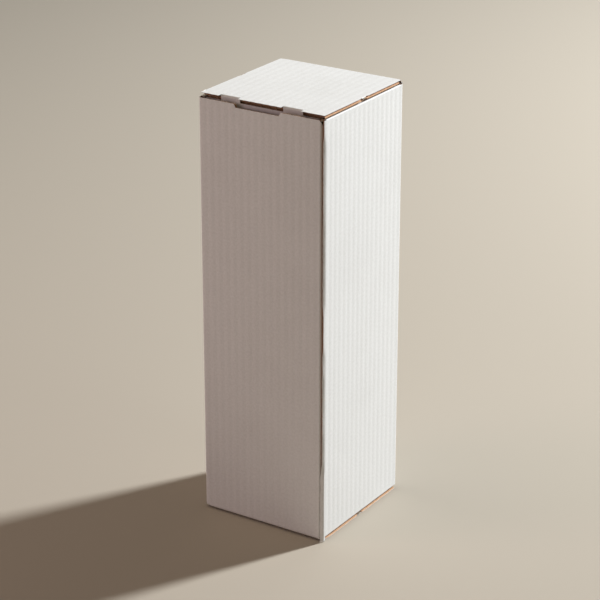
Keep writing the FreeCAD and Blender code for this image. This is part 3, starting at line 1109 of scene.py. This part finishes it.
class BOTTLEBOX_OT_end_flap(bpy.types.Operator):
    """Fold the lid or the bottom flap, with the creased strip that it swings on"""

    bl_idname = "bottlebox.end_flap"
    bl_label = "Lid or bottom flap"

    flap: bpy.props.EnumProperty(
        name="Flap",
        description="Which end of the box it closes",
        items=[
            ("lid", "Lid", "The panel at the top"),
            ("bottom_flap", "Bottom flap", "The panel that the box stands on"),
        ],
    )

    def execute(self, context):
        flap = EndFlap(self.flap)
        back, top = flap.die.depth / 2, flap.die.height
        start, end = (0, back, top - 3 * MM), (0, back - 3 * MM, top)
        if flap.turned:
            start, end = (0, -back, 3 * MM), (0, -back + 3 * MM, 0)
        for paper in papers():
            sheets = [flap.panel_sheet(paper), flap.tuck_sheet(paper)]
            piece = make_piece(f"{self.flap}_{paper.name}", sheets, paper, flap.turned)
            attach(piece, self.flap)
            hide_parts(self.flap)
            name, strip = f"{self.flap}_crease_{paper.name}", [flap.crease_sheet(paper)]
            crease = make_piece(name, strip, paper, flap.turned)
            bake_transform(crease)
            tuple(start)
            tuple(end)
        return {"FINISHED"}


class BOTTLEBOX_OT_fibres(bpy.types.Operator):
    """Add the loose fibres that stand out of the cut and torn edges"""

    bl_idname = "bottlebox.fibres"
    bl_label = "Loose fibres"

    def execute(self, context):
        for seed, body in enumerate(frame["bodies"]):
            make_fibres(body, seed + 4)
        return {"FINISHED"}


class BOTTLEBOX_OT_stage(bpy.types.Operator):
    """Set out the floor, the lights and the camera"""

    bl_idname = "bottlebox.stage"
    bl_label = "Stage"

    def execute(self, context):
        scene, stage = context.scene, context.scene.bottle_box_stage
        grid = bmesh.new()
        bmesh.ops.create_grid(grid, x_segments=1, y_segments=1, size=FLOOR_SIZE)
        ground = add_object("floor", mesh_from("floor", grid))
        finish = Finish("plain_floor")
        finish.surface(tuple(stage.floor), 0.85)
        ground.data.materials.append(finish.material)

        world = bpy.data.worlds.new("soft_light")
        world.use_nodes = True
        background = world.node_tree.nodes["Background"]
        background.inputs["Color"].default_value = (*stage.around, 1)
        scene.world = world

        aim = Vector((0, 0, BOX_HEIGHT / 2))
        lamps = [
            ("key", stage.key, (0.915, 0.957, 1.0), 0.3, (1.238, 2.28, 1.697)),
            ("overhead", stage.overhead, (1.0, 0.83, 0.6), 1.6, (-0.3, -0.6, 2.4)),
            ("fill", stage.fill, (1.0, 0.75, 0.79), 0.6, (-0.9, -0.85, 0.45)),
        ]
        for name, watts, shade, size, place in lamps:
            light = bpy.data.lights.new(name, "AREA")
            light.shape, light.size, light.energy, light.color = "DISK", size, watts, shade
            look_along(add_object(name, light), place, Vector(place) - aim)

        view = bpy.data.cameras.new("camera")
        view.lens = stage.lens
        view.clip_end = 40
        camera = add_object("camera", view)
        turn, lift = stage.azimuth, stage.elevation
        level = math.cos(lift)
        away = Vector((math.sin(turn) * level, -math.cos(turn) * level, math.sin(lift)))
        sideways = Vector((math.cos(turn), math.sin(turn), 0))
        looked_at = Vector((0, 0, stage.aim)) + sideways * stage.aside
        look_along(camera, looked_at + away * stage.distance, away)
        scene.camera = camera
        scene.view_settings.view_transform = "Standard"
        return {"FINISHED"}


class BOTTLEBOX_PT_sidebar(bpy.types.Panel):
    """Bottle box"""

    bl_idname = "BOTTLEBOX_PT_sidebar"
    bl_label = "Bottle Box"
    bl_space_type = "VIEW_3D"
    bl_region_type = "UI"
    bl_category = "Bottle Box"

    def draw(self, context):
        layout = self.layout
        for name, group in GROUPS.items():
            box = layout.box()
            box.label(text=group.__doc__)
            values = getattr(context.scene, name)
            for field in group.__annotations__:
                box.prop(values, field)
        layout.operator("bottlebox.walls")
        layout.operator("bottlebox.end_flap", text="Lid").flap = "lid"
        layout.operator("bottlebox.end_flap", text="Bottom flap").flap = "bottom_flap"
        layout.operator("bottlebox.fibres")
        layout.operator("bottlebox.stage")


GROUPS = {
    "bottle_box_board": BottleBoxBoard,
    "bottle_box_die": BottleBoxDie,
    "bottle_box_paper": BottleBoxPaper,
    "bottle_box_stage": BottleBoxStage,
}
CLASSES = (*GROUPS.values(), BOTTLEBOX_OT_walls, BOTTLEBOX_OT_end_flap,
           BOTTLEBOX_OT_fibres, BOTTLEBOX_OT_stage, BOTTLEBOX_PT_sidebar)


def register():
    for kind in CLASSES:
        bpy.utils.register_class(kind)
    for name, group in GROUPS.items():
        setattr(bpy.types.Scene, name, bpy.props.PointerProperty(type=group))


def unregister():
    for name in GROUPS:
        delattr(bpy.types.Scene, name)
    for kind in reversed(CLASSES):
        bpy.utils.unregister_class(kind)


def main():
    register()
    bpy.ops.bottlebox.walls()
    bpy.ops.bottlebox.end_flap(flap="lid")
    bpy.ops.bottlebox.end_flap(flap="bottom_flap")
    bpy.ops.bottlebox.fibres()
    bpy.ops.bottlebox.stage()


if __name__ == "__main__":
    main()
